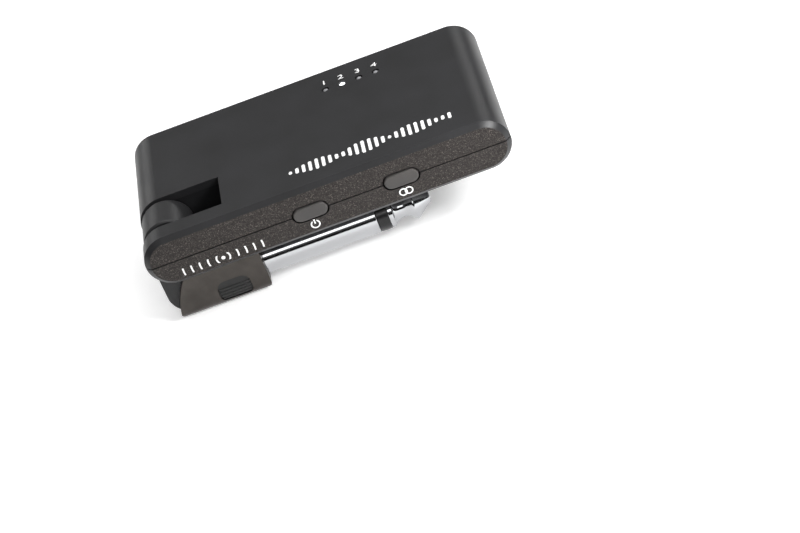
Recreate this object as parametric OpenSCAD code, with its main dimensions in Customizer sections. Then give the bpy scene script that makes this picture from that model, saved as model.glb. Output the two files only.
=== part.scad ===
// Clip-style wireless guitar transmitter: a flat two-shell housing with a folding
// 6.35 mm jack plug. The plug lies folded under the housing. X runs along the housing
// from the hinge end, Y from the button side to the rear, Z up through the thickness.
// The origin is the bottom centre of the folded transmitter.

/* [Housing] */
// Length of the housing
body_l = 66; // [62:1:72]
// Width of the housing
body_w = 37; // [35:1:42]
// Thickness of the housing; both ends are rounded to half of it
body_t = 9.6; // [9.4:0.2:10.4]
// Wall thickness of both shells
wall = 1.4; // [1.2:0.1:1.5]
// Flat bevel round the front and rear sides
bevel = 1; // [0.6:0.1:1.2]
// How far the front and rear lean in from the seam to the top and the bottom
draft = 0.2; // [0:0.05:0.3]
// Depth and width of the groove along the seam
seam = 0.24; // [0.16:0.02:0.3]

/* [Hinge] */
// Front edge of the hinge slot
slot_y = 4.6; // [4.4:0.1:5]
// Width of the hinge slot
slot_w = 9; // [8.8:0.1:9.4]
// Length of the slot in the top shell
slot_top_l = 15.9; // [15.5:0.1:16.5]
// Length of the slot in the bottom shell
slot_low_l = 9.9; // [9.8:0.1:10.5]
// Radius of the hinge drum
drum_r = 4.65; // [4:0.05:4.7]
// Radius of the hinge pin
pin_r = 1; // [0.8:0.05:1.2]

/* [Plug] */
// Depth of the plug axis under the housing
plug_drop = 6; // [5.8:0.1:7]
// Distance from the hinge end to the root of the plug
plug_root = 18.2; // [17.5:0.1:20]
// Radius of the jack plug
plug_r = 3.175; // [3.175]
// Length of the plug's sleeve
sleeve_l = 21; // [21]
// Length of the insulating ring
ring_l = 2.15; // [1.8:0.05:2.4]
// Length of the plug's tip
tip_l = 7.85; // [7.6:0.05:8.2]

/* [Controls] */
// Distance from the hinge end to the power button
power_x = 29.8; // [28:0.1:31]
// Distance from the hinge end to the pair button
pair_x = 46.2; // [44:0.1:48]
// Length of a button
button_l = 6.1; // [5:0.1:7]
// Height of a button
button_h = 2.6; // [2:0.1:3]
// How far a button travels
button_travel = 0.35; // [0.2:0.05:0.4]
// Distance from the hinge end to the first status light
light_x = 37.75; // [36:0.05:40]
// Spacing of the status lights
light_pitch = 3.16; // [2.8:0.02:3.6]
// Distance from the front side to the row of status lights
light_y = 29.6; // [28.5:0.1:31]
// Radius of a status light
light_r = 0.52; // [0.4:0.02:0.6]

/* [Hidden] */
$fn = 96;

end_r = body_t / 2;
seam_z = body_t / 2;
eps = 0.01;
far = 100;
// clearance between fixed parts that sit against each other
fit = 0.02;

// hinge axis, and the arm that swings in the slot
hinge_x = end_r + 0.05;
hinge_z = seam_z;
arm_w = slot_w - 0.6;
arm_y = slot_y + 0.3;
plug_y = arm_y + arm_w / 2;
drum_y0 = arm_y + 1;
drum_y1 = arm_y + arm_w - 0.4;
leg_x0 = hinge_x - drum_r;
leg_x1 = hinge_x + drum_r;
foot_r = 4.2;

// hinge washers, and the grease groove in the front one: its inner radius and its depth
washer_r = 2.6;
washer_groove = [1.7, 0.4];

// boot that holds the root of the plug
boot_top = -0.8;
boot_bottom = -plug_drop - 4.6;
boot_wall = 0.9;
boot_round = 2.2;
boot_upper_r = 0.7;
boot_rake_drop = 1.7;
boot_rake_r = 16.8;
boot_x0 = plug_root - 0.4 - boot_rake_r;
boot_screw_x = 6.4;
boot_screw_r = 0.6;
boot_screw_head = [1.2, 0.46];
leg_y0 = arm_y + boot_wall + 0.1;
leg_y1 = arm_y + arm_w - boot_wall - 0.1;
leg_bottom = boot_bottom + boot_wall + fit;
root_r = 2.7;
insulator_r = 2.03;
rod_r = 1.14;
neck_r = 2.98;
stand_h = -boot_bottom;

// grips on the boot
grip_x = plug_root - 6.3;
grip_l = 5.95;
grip_top = -5.5;
grip_low = -9.5;
grip_depth = 0.6;
grip_sunk = 0.28;
grip_upper_r = 1.6;
grip_lower_r = 1;
rib_z = -7.15;
rib_pitch = 0.65;
rib_r = 0.2;

// hinge cradle inside the housing
ear_t = 1.4;
cradle_y0 = slot_y - 0.1;
cradle_y1 = slot_y + slot_w + 0.1;
cradle_x1 = slot_top_l + 0.05;
inner_z0 = wall + 0.03;
inner_z1 = body_t - wall - 0.03;

// openings in the shells, and the tongue that joins them
button_gap = 0.3;
usb_gap = 0.25;
light_gap = 0.18;
tongue_h = 0.6;
tongue_t = 0.65;

// circuit board and what stands on it
board_z = 2.8;
board_t = 0.8;
board_top = board_z + board_t;
board_x1 = body_l - 3;
board_y0 = 3.2;
board_y1 = body_w - 2.4;
screw_places = [[21, 4.6], [body_l - 5.2, 4.6], [body_l - 5.2, body_w - 4.6], [5.8, body_w - 4.6]];
boss_r = 1.7;
shank_r = 0.75;
head_r = 1.4;
head_h = 0.78;
shank_l = 6.6;
recess_w = 0.3;
usb_x = 24;
usb_w = 8.94;
usb_h = 3.2;
usb_front = body_w - 0.9;
usb_l = 7.9;
usb_tin = 0.3;
battery_at = [19, 7.4, board_top + 0.35];
battery_size = [27, 19.4, 3.9];
wire_r = 0.35;
// battery leads: the first one's place, their spacing and their height
lead_y = 20.4;
lead_pitch = 1.2;
lead_z = board_top + 1.3;
connector_x1 = 15.6;
dome_r = 0.6;
switch_y = 3.4;
plunger_y = 2.95;

// moves the housing's own corner frame to the bottom centre of the folded object
module placed() {
    translate([-body_l / 2, -body_w / 2, stand_h]) children();
}

// a cylinder along Y from y0 to y1 about the point x, z
module y_rod(x, z, r, y0, y1) {
    translate([x, y1, z]) rotate([90, 0, 0]) cylinder(r = r, h = y1 - y0);
}

// a cylinder along X from x0 to x1 about the point y, z
module x_rod(y, z, r, x0, x1) {
    translate([x0, y, z]) rotate([0, 90, 0]) cylinder(r = r, h = x1 - x0);
}

// a box between two corners
module block(low, high) {
    translate(low) cube(high - low);
}

// a solid of revolution about Y, from [radius, distance along Y] points
module y_turned(x, y, z, points) {
    translate([x, y, z]) rotate([-90, 0, 0]) rotate_extrude() polygon(points);
}

// a solid of revolution about the plug axis, from [radius, distance along X] points
module plug_turned(points) {
    translate([0, plug_y, -plug_drop]) rotate([0, 90, 0]) rotate_extrude() polygon(points);
}

// the housing's outer form, drawn in by a distance: round ends, bevelled sides
module slab(inset = 0) {
    r = end_r - inset;
    w = body_w - 2 * inset;
    c = max(bevel - inset * 0.6, 0.2);
    side = [[0, 0], [r - c, 0], [r, c], [r, w - c], [r - c, w], [0, w]];
    for (x = [end_r, body_l - end_r])
        y_turned(x, inset, seam_z, side);
    translate([end_r, inset, seam_z])
        rotate([90, 0, 90])
            linear_extrude(body_l - 2 * end_r)
                polygon([[0, c - r], [c, -r], [w - c, -r], [w, c - r],
                         [w, r - c], [w - c, r], [c, r], [0, r - c]]);
}

// the housing's outer form: its front and rear lean in from the seam
module housing_form() {
    intersection() {
        slab();
        translate([-1, 0, 0]) rotate([90, 0, 90])
            linear_extrude(body_l + 2)
                polygon([[draft, 0], [body_w - draft, 0], [body_w, seam_z],
                         [body_w - draft, body_t], [draft, body_t], [0, seam_z]]);
    }
}

// a pill-shaped bar along Y, centred on the seam at x
module pill(x, length, height, y0, y1) {
    half = (length - height) / 2;
    for (side = [-half, half])
        y_rod(x + side, seam_z, height / 2, y0, y1);
    block([x - half, y0, seam_z - height / 2], [x + half, y1, seam_z + height / 2]);
}

// openings that both shells share
module shared_cuts() {
    for (x = [power_x, pair_x])
        pill(x, button_l + 2 * button_gap, button_h + 2 * button_gap, -1, wall + 1);
    usb_mouth(usb_gap, body_w - wall - 1, body_w + 1);
    difference() {
        block([-1, -1, seam_z - seam / 2], [body_l + 1, body_w + 1, seam_z + seam / 2]);
        slab(seam * 1.4);
    }
}

// tongue that rises from the bottom shell into the top shell
module tongue(low, high, thick) {
    difference() {
        intersection() {
            slab(wall - thick);
            block([-1, -1, low], [body_l + 1, body_w + 1, high]);
        }
        slab(wall);
    }
}

// clears the slot through a shell from one height to another
module slot(length, low, high) {
    block([-1, slot_y, low], [length, slot_y + slot_w, high]);
}

module usb_mouth(gap, y0, y1) {
    pill(usb_x, usb_w + 2 * gap, usb_h + 2 * gap, y0, y1);
}

module top_shell() {
    color("#2b2b2d") placed() difference() {
        union() {
            difference() {
                housing_form();
                slab(wall);
                block([-1, -1, -1], [body_l + 1, body_w + 1, seam_z]);
            }
            for (p = screw_places)
                translate([p[0], p[1], board_top + 0.05])
                    cylinder(r = boss_r, h = body_t - wall / 2 - board_top);
        }
        shared_cuts();
        slot(slot_top_l, seam_z - 1, body_t + 1);
        tongue(seam_z - 1, seam_z + tongue_h + 0.1, tongue_t + 0.05);
        for (p = screw_places)
            translate([p[0], p[1], 0]) cylinder(r = shank_r + fit, h = body_t - wall);
        for (i = [0:3])
            translate([light_x + i * light_pitch, light_y, body_t - wall - 1])
                cylinder(r = light_r + light_gap, h = wall + 2);
    }
}

module bottom_shell() {
    color("#2b2b2d") placed() difference() {
        union() {
            difference() {
                housing_form();
                slab(wall);
                block([-1, -1, seam_z], [body_l + 1, body_w + 1, body_t + 1]);
            }
            tongue(seam_z - eps, seam_z + tongue_h, tongue_t);
            for (p = screw_places)
                translate([p[0], p[1], wall / 2])
                    cylinder(r = boss_r + 0.3, h = board_z - wall / 2 - 0.05);
        }
        shared_cuts();
        slot(slot_low_l, -1, seam_z + 1);
        block([1, cradle_y0, wall], [slot_top_l, cradle_y1, seam_z + 1]);
        for (p = screw_places)
            translate([p[0], p[1], -1]) {
                cylinder(r = head_r + 0.15, h = 2);
                cylinder(r = shank_r + 0.1, h = board_z + 1);
            }
    }
}

module housing_screws() {
    color("#3a3a3c") placed() for (p = screw_places)
        translate([p[0], p[1], 0.2]) difference() {
            union() {
                cylinder(r = head_r, h = head_h);
                cylinder(r = shank_r, h = shank_l);
            }
            for (turn = [0, 90])
                rotate(turn) translate([-0.8, -recess_w / 2, -1]) cube([1.6, recess_w, 1.45]);
        }
}

module hinge_cradle() {
    color("#161617") placed() difference() {
        intersection() {
            block([1.5, cradle_y0 - ear_t, inner_z0], [cradle_x1 + ear_t, cradle_y1 + ear_t, inner_z1]);
            slab(wall + 0.03);
        }
        block([-1, cradle_y0, -1], [cradle_x1, cradle_y1, body_t + 1]);
        y_rod(hinge_x, hinge_z, pin_r, cradle_y0 - ear_t - 1, cradle_y1 + ear_t + 1);
    }
}

module hinge_pin() {
    color("#c9cacc") placed() difference() {
        y_rod(hinge_x, hinge_z, pin_r, cradle_y0 - ear_t, cradle_y1 + ear_t);
        y_rod(hinge_x, hinge_z, pin_r / 2, 0, body_w);
    }
}

module hinge_washers() {
    color("#b9babc") placed() {
        difference() {
            y_rod(hinge_x, hinge_z, washer_r, cradle_y0 + fit, drum_y0 - 0.12);
            y_rod(hinge_x, hinge_z, pin_r, 0, body_w);
            y_turned(hinge_x, cradle_y0 + 0.5, hinge_z,
                     [[washer_groove[0], 0], [washer_r + 1, 0], [washer_r + 1, washer_groove[1]],
                      [washer_groove[0], washer_groove[1]]]);
        }
        difference() {
            y_rod(hinge_x, hinge_z, washer_r, drum_y1 + 0.1, cradle_y1 - fit);
            y_rod(hinge_x, hinge_z, pin_r, 0, body_w);
        }
    }
}

module main_board() {
    color("#1d5c3a") placed() difference() {
        union() {
            block([3, cradle_y1 + ear_t + 0.3, board_z], [board_x1, board_y1, board_top]);
            block([cradle_x1 + ear_t + 0.3, board_y0, board_z], [board_x1, body_w / 2, board_top]);
        }
        for (p = screw_places)
            translate([p[0], p[1], 0]) cylinder(r = shank_r + 0.15, h = body_t);
        block([usb_x - usb_w / 2 - 0.1, usb_front - usb_l - 0.1, 0],
              [usb_x + usb_w / 2 + 0.1, body_w, body_t]);
    }
}

module battery() {
    color("#b4b6ba") placed() translate(battery_at) {
        r = battery_size[2] / 2;
        x_end = battery_size[0];
        translate([0, r, 0]) cube([x_end, battery_size[1] - 2 * r, battery_size[2]]);
        for (y = [r, battery_size[1] - r])
            x_rod(y, r, r, 0, x_end);
        block([x_end, 2, r - 0.4], [x_end + 1.2, battery_size[1] - 2, r + 0.4]);
    }
}

module battery_pad() {
    color("#55565a") placed()
        translate([battery_at[0] + 2, battery_at[1] + 3, board_top + fit])
            cube([battery_size[0] - 4, battery_size[1] - 6, 0.3]);
}

// two short wires from the battery's end to its connector
module battery_leads() {
    placed() for (i = [0, 1]) color(i == 0 ? "#a3231f" : "#1c1c1c") {
        x_rod(lead_y + i * lead_pitch, lead_z, wire_r, connector_x1 - 0.2, battery_at[0] - fit);
    }
}

module battery_connector() {
    color("#e8e4d6") placed() difference() {
        block([connector_x1 - 4, 19, board_top + fit], [connector_x1, 23, board_top + 2.8]);
        for (i = [0, 1])
            x_rod(lead_y + i * lead_pitch, lead_z, wire_r + fit, connector_x1 - 0.3, connector_x1 + 1);
    }
}

// leads that leave the hollow hinge pin and drop to the board
module signal_leads() {
    color("#8c2f2b") placed() {
        y_end = cradle_y1 + ear_t + 2.4;
        y_rod(hinge_x, hinge_z, wire_r, cradle_y1 + 0.4, y_end);
        translate([hinge_x, y_end, hinge_z]) sphere(r = wire_r);
        translate([hinge_x, y_end, board_top + fit])
            cylinder(r = wire_r, h = hinge_z - board_top);
    }
}

module usb_port() {
    color("#c3c5c9") placed() difference() {
        usb_mouth(0, usb_front - usb_l, usb_front);
        usb_mouth(-usb_tin, usb_front - usb_l + 1, body_w + 1);
    }
    color("#c3c5c9") placed() {
        difference() {
            block([usb_x - 3.2, body_w - 8.5, seam_z - 0.35], [usb_x + 3.2, body_w - 2.2, seam_z + 0.35]);
            block([usb_x - 2.6, body_w - 7, seam_z + 0.28], [usb_x + 2.6, body_w, seam_z + 1]);
        }
    }
}

module status_leds() {
    color("#f2efe2") placed() for (i = [0:3])
        translate([light_x + i * light_pitch - 0.8, light_y - 0.4, board_top + fit])
            cube([1.6, 0.8, 0.6]);
}

module light_pipes() {
    color("#e9ecef") placed() for (i = [0:3])
        translate([light_x + i * light_pitch, light_y, board_top + 0.8]) {
            intersection() {
                cylinder(r = light_r, h = body_t);
                union() {
                    cylinder(r = 1, h = body_t - board_top - 0.8 - dome_r / 2);
                    translate([0, 0, body_t - board_top - 0.8 - dome_r]) sphere(r = dome_r);
                }
            }
            translate([0, 0, body_t - wall - 1.6 - board_top]) cylinder(r = 1, h = 0.7);
        }
}

// side-push switch behind a button
module side_switch(x) {
    color("#d9d9d6") placed() {
        block([x - 1.9, switch_y, board_top + fit], [x + 1.9, switch_y + 2.2, board_top + 2.4]);
        pill(x, 1.9, 1, plunger_y, switch_y + 0.2);
    }
}

module power_switch() {
    side_switch(power_x);
}

module pair_switch() {
    side_switch(pair_x);
}

// a flat chip on the board, with its size and place
module chip(x, y, size_x, size_y, size_z, tint) {
    color(tint) placed()
        translate([x - size_x / 2, y - size_y / 2, board_top + fit])
            cube([size_x, size_y, size_z]);
}

module radio_module() {
    chip(54, 12.4, 10, 8.6, 1.9, "#bcbfc4");
}

module antenna() {
    chip(60.2, 21.5, 2, 7, 1.1, "#e6e3da");
}

module control_chip() {
    chip(53, 22.5, 6, 6, 0.9, "#202124");
}

module audio_chip() {
    chip(43, 32.2, 4, 3, 0.8, "#202124");
}

module charger_chip() {
    chip(13, 28.6, 3, 3, 0.8, "#202124");
}

module crystal() {
    chip(53, 29.4, 3.2, 2.5, 0.7, "#d6c48d");
}

module board_capacitors() {
    for (place = [[17, 26], [17, 28], [33, 30], [33, 32], [48.5, 18.8], [50.5, 18.8],
                  [57.6, 18.8], [57.6, 25.6], [9, 20], [9, 22]])
        chip(place[0], place[1], 1, 0.6, 0.55, "#b99a6c");
}

function drum_outline(w) =
    [[0, 0], [drum_r - 0.4, 0], [drum_r - 0.12, 0.12], [drum_r, 0.4],
     [drum_r, w - 0.3], [drum_r - 0.3, w], [0, w]];

// the swinging arm: a drum in the slot and a leg that reaches down into the boot
module hinge_arm() {
    color("#232325") placed() difference() {
        union() {
            y_turned(hinge_x, drum_y0, hinge_z, drum_outline(drum_y1 - drum_y0));
            block([leg_x0, leg_y0, leg_bottom + foot_r], [leg_x1, leg_y1, hinge_z]);
            block([leg_x0 + foot_r, leg_y0, leg_bottom], [leg_x1, leg_y1, hinge_z]);
            y_rod(leg_x0 + foot_r, leg_bottom + foot_r, foot_r, leg_y0, leg_y1);
            arm_core();
        }
        block([-1, 0, hinge_z - 0.2], [leg_x1 + 1, drum_y0, far]);
        y_rod(hinge_x, hinge_z, washer_r + 0.15, 0, drum_y0);
        y_rod(hinge_x, hinge_z, pin_r + 0.05, 0, body_w);
        x_rod(plug_y, -plug_drop, root_r + fit, leg_x1 + 0.6, far);
        x_rod(plug_y, -plug_drop, 1.4, leg_x0 + 2, far);
        translate([hinge_x, plug_y, -plug_drop]) cylinder(r = 0.8, h = plug_drop + hinge_z - pin_r);
        translate([boot_screw_x, plug_y, boot_bottom - 1]) cylinder(r = boot_screw_r + fit, h = 3.2);
    }
}

// solid of the boot, drawn in by a distance: round lower edges and a raked left end
module boot_form(inset) {
    r = boot_round - inset * 0.5;
    y0 = arm_y + inset;
    y1 = arm_y + arm_w - inset;
    z0 = boot_bottom + inset;
    z1 = boot_top - inset;
    t = boot_upper_r;
    intersection() {
        union() {
            block([-1, y0 + r, z0], [plug_root - inset, y1 - r, z1]);
            block([-1, y0, z0 + r], [plug_root - inset, y1, z1 - t]);
            block([-1, y0 + t, z1 - t - eps], [plug_root - inset, y1 - t, z1]);
            for (y = [y0 + r, y1 - r])
                x_rod(y, z0 + r, r, -1, plug_root - inset);
            for (y = [y0 + t, y1 - t])
                x_rod(y, z1 - t, t, -1, plug_root - inset);
        }
        y_rod(boot_x0 + boot_rake_r, boot_bottom - boot_rake_drop, boot_rake_r, 0, body_w);
    }
}

// the part of the arm that fills the boot
module arm_core() {
    intersection() {
        boot_form(boot_wall + fit);
        block([leg_x1 - 2, 0, -far], [plug_root - boot_wall - 0.05, body_w, 0]);
    }
}

module plug_boot() {
    color("#6f6b69") placed() difference() {
        boot_form(0);
        boot_form(boot_wall);
        block([-2, leg_y0 - fit, leg_bottom], [leg_x1 + fit, leg_y1 + fit, 1]);
        x_rod(plug_y, -plug_drop, neck_r + fit, leg_x1, far);
        translate([boot_screw_x, plug_y, boot_bottom - 1]) {
            cylinder(r = boot_screw_r + 0.1, h = 3);
            cylinder(r = boot_screw_head[0] + 0.05, h = 1.5);
        }
        for (side = [0, 1])
            grip_pocket(side, fit);
    }
}

module boot_screw() {
    color("#3a3a3c") placed() translate([boot_screw_x, plug_y, boot_bottom + fit]) difference() {
        union() {
            cylinder(r = boot_screw_head[0], h = boot_screw_head[1]);
            cylinder(r = boot_screw_r, h = 2.1);
        }
        for (turn = [0, 90])
            rotate(turn) translate([-0.7, -0.13, -1]) cube([1.4, 0.26, 1.3]);
    }
}

// bar along Y with a grip's outline, through the boot's side: side 0 is the front, side 1 the rear
module grip_form(side, gap) {
    y0 = side == 0 ? arm_y - 1 : plug_y + 1;
    y1 = side == 0 ? plug_y - 1 : arm_y + arm_w + 1;
    x0 = grip_x - grip_l / 2 - gap;
    x1 = grip_x + grip_l / 2 + gap;
    z0 = grip_low - gap;
    z1 = grip_top + gap;
    low_r = grip_lower_r + gap;
    high_r = grip_upper_r + gap;
    block([x0, y0, z0 + low_r], [x1, y1, z1 - high_r]);
    block([x0 + high_r, y0, z1 - high_r - eps], [x1 - high_r, y1, z1]);
    block([x0 + low_r, y0, z0], [x1 - low_r, y1, z0 + low_r + eps]);
    for (x = [x0 + high_r, x1 - high_r])
        y_rod(x, z1 - high_r, high_r, y0, y1);
    for (x = [x0 + low_r, x1 - low_r])
        y_rod(x, z0 + low_r, low_r, y0, y1);
}

// pocket for a grip, which follows the boot's rounded side
module grip_pocket(side, gap) {
    difference() {
        grip_form(side, gap);
        boot_form(grip_depth + gap);
    }
}

// one grip: a sunken plate that follows the boot's side, with four ribs across its lower part
module grip(side) {
    bend_r = boot_round - grip_sunk / 2;
    bend_z = boot_bottom + grip_sunk + bend_r;
    color("#3c3b3b") placed() {
        intersection() {
            grip_pocket(side, 0);
            boot_form(grip_sunk);
        }
        for (i = [0:3]) {
            z = rib_z - i * rib_pitch;
            drop = max(bend_z - z, 0);
            sunk = grip_sunk + bend_r - sqrt(bend_r * bend_r - drop * drop);
            trim = max(grip_low + grip_lower_r - z, 0);
            end = grip_l / 2 - 0.1 - grip_lower_r + sqrt(grip_lower_r * grip_lower_r - trim * trim);
            x_rod(side == 0 ? arm_y + sunk : arm_y + arm_w - sunk, z, rib_r, grip_x - end, grip_x + end);
        }
    }
}

module front_grip() {
    grip(0);
}

module rear_grip() {
    grip(1);
}

module plug_sleeve() {
    r = plug_r;
    bore_r = insulator_r + fit;
    back = plug_root - boot_wall - 0.04;
    end = plug_root + sleeve_l;
    color("#d7d8da") placed() plug_turned([[bore_r, leg_x1 + 2.2], [root_r, leg_x1 + 2.2], [root_r, back],
        [neck_r, back], [neck_r, plug_root], [r, plug_root], [r, end - 0.15], [r - 0.15, end],
        [bore_r, end]]);
}

module plug_ring() {
    start = plug_root + sleeve_l + fit;
    end = plug_root + sleeve_l + ring_l;
    color("#161617") placed() plug_turned([[1.25, start], [plug_r - 0.1, start],
        [plug_r - 0.05, (start + end) / 2], [plug_r - 0.1, end], [1.25, end]]);
}

module plug_tip() {
    start = plug_root + sleeve_l + ring_l + fit;
    end = start + tip_l;
    neck = [for (i = [0:8]) let (a = 90 * i / 8)
        [2 + 1.05 * (1 - sin(a)), start + 0.7 + 2.1 * (1 - cos(a))]];
    color("#d7d8da") placed() difference() {
        plug_turned(concat([[0, start], [plug_r - 0.14, start], [plug_r - 0.1, start + 0.35],
            [plug_r - 0.12, start + 0.7]], neck,
            [[2.15, start + 3.3], [plug_r - 0.1, end - 3.4], [plug_r, end - 3.1],
             [plug_r - 0.12, end - 2.75], [1.15, end - 0.35], [0.7, end], [0, end]]));
        x_rod(plug_y, -plug_drop, rod_r + fit, start - 1, start + 3);
    }
}

module plug_rod() {
    start = plug_root + sleeve_l + ring_l;
    color("#c8b273") placed() x_rod(plug_y, -plug_drop, rod_r, leg_x1 + 0.4, start + 2.98);
}

module plug_insulator() {
    end = plug_root + sleeve_l;
    color("#e4e2dc") placed() difference() {
        x_rod(plug_y, -plug_drop, insulator_r, leg_x1 + 1.1, end);
        x_rod(plug_y, -plug_drop, rod_r + fit, 0, body_l);
    }
}

// leads that run up the arm from the plug to the hollow pin
module arm_leads() {
    color("#8c2f2b") placed() {
        x_rod(plug_y, -plug_drop, wire_r, hinge_x, leg_x1 + 0.38);
        translate([hinge_x, plug_y, -plug_drop]) sphere(r = wire_r);
        translate([hinge_x, plug_y, -plug_drop])
            cylinder(r = wire_r, h = plug_drop + hinge_z - pin_r - 0.3);
    }
}

module plug_tags() {
    color("#c8b273") placed() {
        difference() {
            x_rod(plug_y, -plug_drop, root_r - 0.05, leg_x1 + 1.75, leg_x1 + 2.15);
            x_rod(plug_y, -plug_drop, insulator_r + fit, 0, body_l);
        }
    }
}

// one push button: a pill-shaped cap with a flange behind the housing wall
module button(x) {
    color("#55534f") placed() {
        pill(x, button_l - 0.4, button_h - 0.4, -0.2, 0);
        pill(x, button_l, button_h, 0, wall + 0.6);
        pill(x, button_l + 1.4, button_h + 1.2, wall + 0.12, wall + 0.6);
        pill(x, 2.2, 1.2, wall + 0.6, plunger_y - button_travel - 0.1);
    }
}

module power_button() {
    button(power_x);
}

module pair_button() {
    button(pair_x);
}

top_shell();
bottom_shell();
housing_screws();
hinge_cradle();
hinge_pin();
hinge_washers();
main_board();
battery();
battery_pad();
battery_leads();
battery_connector();
signal_leads();
usb_port();
status_leds();
light_pipes();
power_switch();
pair_switch();
radio_module();
antenna();
control_chip();
audio_chip();
charger_chip();
crystal();
board_capacitors();
hinge_arm();
plug_boot();
boot_screw();
front_grip();
rear_grip();
plug_sleeve();
plug_ring();
plug_tip();
plug_rod();
plug_insulator();
plug_tags();
arm_leads();
power_button();
pair_button();
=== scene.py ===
"""A folding-plug wireless guitar transmitter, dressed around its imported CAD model.

Lengths in the modelling calls are millimetres from the housing's own corner: x from the hinge end,
y from the button side, z up from the underside. at() turns them into metres in the row frame.
"""

import math

import bpy
from mathutils import Euler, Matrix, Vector


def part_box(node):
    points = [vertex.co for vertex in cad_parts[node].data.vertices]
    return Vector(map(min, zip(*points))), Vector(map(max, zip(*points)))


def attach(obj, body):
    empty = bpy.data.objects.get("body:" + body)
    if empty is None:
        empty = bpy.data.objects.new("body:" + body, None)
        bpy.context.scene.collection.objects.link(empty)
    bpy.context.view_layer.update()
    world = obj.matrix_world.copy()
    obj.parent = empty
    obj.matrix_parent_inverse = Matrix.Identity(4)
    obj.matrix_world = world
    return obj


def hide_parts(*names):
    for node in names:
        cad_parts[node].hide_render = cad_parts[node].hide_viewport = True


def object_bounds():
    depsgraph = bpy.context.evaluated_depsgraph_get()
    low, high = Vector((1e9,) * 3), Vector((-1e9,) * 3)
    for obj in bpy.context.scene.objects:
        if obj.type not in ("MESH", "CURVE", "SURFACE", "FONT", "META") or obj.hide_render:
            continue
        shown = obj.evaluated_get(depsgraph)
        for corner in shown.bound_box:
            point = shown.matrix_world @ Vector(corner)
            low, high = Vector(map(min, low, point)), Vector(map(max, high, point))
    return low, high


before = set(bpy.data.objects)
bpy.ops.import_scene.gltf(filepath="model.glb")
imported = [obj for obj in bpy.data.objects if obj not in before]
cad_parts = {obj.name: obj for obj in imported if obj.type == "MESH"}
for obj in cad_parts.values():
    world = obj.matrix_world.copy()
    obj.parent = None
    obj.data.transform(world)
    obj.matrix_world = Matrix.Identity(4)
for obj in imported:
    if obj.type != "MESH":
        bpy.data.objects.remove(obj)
cad_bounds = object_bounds()

# ---------------------------------------------------------------- sizes, from the CAD frame

MM = 0.001
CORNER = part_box("bottom_shell")[0]
TOP_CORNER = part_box("top_shell")[1]
LENGTH, WIDTH, THICK = ((TOP_CORNER - CORNER) / MM)[:]
FLOOR_Z = cad_bounds[0][2]

END_R = THICK / 2
SEAM_Z = THICK / 2
WALL = 1.4
FIT = 0.02  # clearance between touching parts
SCREW_HEAD_R = 1.4
BEVEL = 1.0
DRAFT = 0.2
DRAFT_ANGLE = math.atan(DRAFT / SEAM_Z)
ROUND_STEPS = 96


def cad(node):
    """Lowest and highest corner of a CAD node, in millimetres from the housing's corner."""
    low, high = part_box(node)
    return (low - CORNER) / MM, (high - CORNER) / MM


def at(x, y, z):
    return Vector((CORNER.x + x * MM, CORNER.y + y * MM, CORNER.z + z * MM))


def middle(node):
    low, high = cad(node)
    return (low + high) / 2


SLOT_Y0 = 4.6
SLOT_Y1 = 13.6
SLOT_TOP_END = 15.9
SLOT_LOW_END = 9.9
POWER_X = middle("power_button").x
PAIR_X = middle("pair_button").x
BUTTON_L = 6.1
BUTTON_H = 2.6
USB_X = middle("usb_port").x
USB_L, USB_H = 8.94, 3.2  # outline of the charging receptacle

HINGE = middle("hinge_pin")
LEG_X0 = cad("hinge_arm")[0].x
DRUM_R = HINGE.x - LEG_X0
LEG_X1 = HINGE.x + DRUM_R
FOOT_R = 4.2
PIN_R = 1.0

BOOT_LOW, BOOT_HIGH = cad("plug_boot")
BOOT_WALL = 0.9
DRUM_Y0 = BOOT_LOW.y + BOOT_WALL + 0.1
BOOT_ROUND = 2.2
BOOT_SCREW_X = 6.4
PLUG_Y = middle("plug_sleeve").y
PLUG_Z = middle("plug_sleeve").z
PLUG_R = 3.175
NECK_R = 2.98
PLUG_ROOT = BOOT_HIGH.x
RING_X0, RING_X1 = (corner.x for corner in cad("plug_ring"))
TIP_X0, TIP_X1 = (corner.x for corner in cad("plug_tip"))
GRIP_LOW, GRIP_HIGH = cad("front_grip")
GRIP_DEPTH = 0.6
GRIP_SUNK = 0.28
GRIP_UPPER_R = 1.6
GRIP_LOWER_R = 1.0
LIGHT_R = 0.52


# ---------------------------------------------------------------- modelling by hand

def deselect():
    if bpy.context.object and bpy.context.object.mode != "OBJECT":
        bpy.ops.object.mode_set(mode="OBJECT")
    bpy.ops.object.select_all(action="DESELECT")


def use(piece):
    deselect()
    piece.select_set(True)
    bpy.context.view_layer.objects.active = piece


def settle(name):
    """Names the new primitive and puts its place into its mesh."""
    piece = bpy.context.object
    piece.name = name
    piece.data.name = name
    bpy.ops.object.transform_apply(location=True, rotation=True, scale=True)
    return piece


def block(name, low, high):
    deselect()
    a, b = at(*low), at(*high)
    bpy.ops.mesh.primitive_cube_add(size=1, location=(a + b) / 2, scale=b - a)
    return settle(name)


def rod(name, start, end, radius, steps=64):
    deselect()
    a, b = at(*start), at(*end)
    turn = (b - a).to_track_quat("Z", "Y").to_euler()
    bpy.ops.mesh.primitive_cylinder_add(vertices=steps, radius=radius * MM, depth=(b - a).length,
                                        location=(a + b) / 2, rotation=turn)
    return settle(name)


def edit(piece, kind, test):
    """Opens the piece in edit mode with the faces, edges or vertices chosen that pass the test."""
    use(piece)
    bpy.ops.object.mode_set(mode="EDIT")
    bpy.ops.mesh.select_mode(type=kind)
    bpy.ops.mesh.select_all(action="DESELECT")
    bpy.ops.object.mode_set(mode="OBJECT")
    mesh = piece.data
    parts = {"VERT": mesh.vertices, "EDGE": mesh.edges, "FACE": mesh.polygons}[kind]
    for part in parts:
        part.select = test(part, mesh)
    bpy.ops.object.mode_set(mode="EDIT")


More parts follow.
